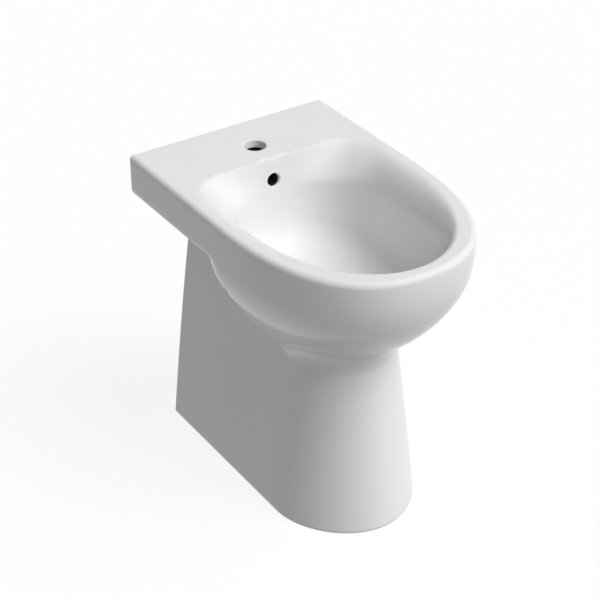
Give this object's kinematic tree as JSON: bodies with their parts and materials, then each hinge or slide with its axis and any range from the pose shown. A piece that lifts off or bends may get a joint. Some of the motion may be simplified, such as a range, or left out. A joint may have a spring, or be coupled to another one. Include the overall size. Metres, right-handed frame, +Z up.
{
  "type": "floor-standing bidet",
  "caption": "Back-to-wall china bidet on a hollow flared pedestal, with a tap hole, an overflow, a click waste that moves, a bottle trap and floor brackets inside.",
  "frame": {"origin": "on the floor under the centre of the bounding box", "axes": "+Z up, +Y towards the wall, -Y to the user's front, +X to the right for someone who faces the wall"},
  "size_m": [0.35, 0.515, 0.5],
  "materials": {
    "china": "glossy white glaze",
    "chrome": "polished plating",
    "brass": "bright turned brass",
    "steel": "zinc-plated steel",
    "rubber": "matt black rubber",
    "plastic": "satin white plastic"
  },
  "bodies": {
    "bidet": {"deck": "china", "rim": "china", "skirt": "china", "bowl_side": "china", "bowl_floor": "china", "overflow_duct": "china", "apron": "china", "neck": "china", "pedestal": "china", "waste_body": "chrome", "flange_seal": "rubber", "tapered_washer": "rubber", "backnut": "brass", "cartridge_sleeve": "brass", "return_spring": "steel", "inlet_nut": "plastic", "inlet_washer": "rubber", "dip_tube": "plastic", "dip_nut": "plastic", "dip_seal": "rubber", "trap_body": "plastic", "trap_cup": "plastic", "cup_seal": "rubber", "outlet_nut": "plastic", "outlet_seal": "rubber", "outlet_pipe": "plastic", "floor_bracket_left": "steel", "floor_bracket_right": "steel", "clamp_screws": "steel", "clamp_nuts": "steel", "grip_pads": "rubber"},
    "plug": {"plug_cap": "chrome", "plug_seal": "rubber", "plug_spindle": "steel"}
  },
  "joints": [
    {"name": "plug_travel", "type": "slide", "parent": "bidet", "child": "plug", "axis": [0, 0, 1], "range_m": [-0.008, 0], "stiffness_N_per_m": 600, "springref_m": 0.012, "deforming": ["return_spring"]}
  ]
}
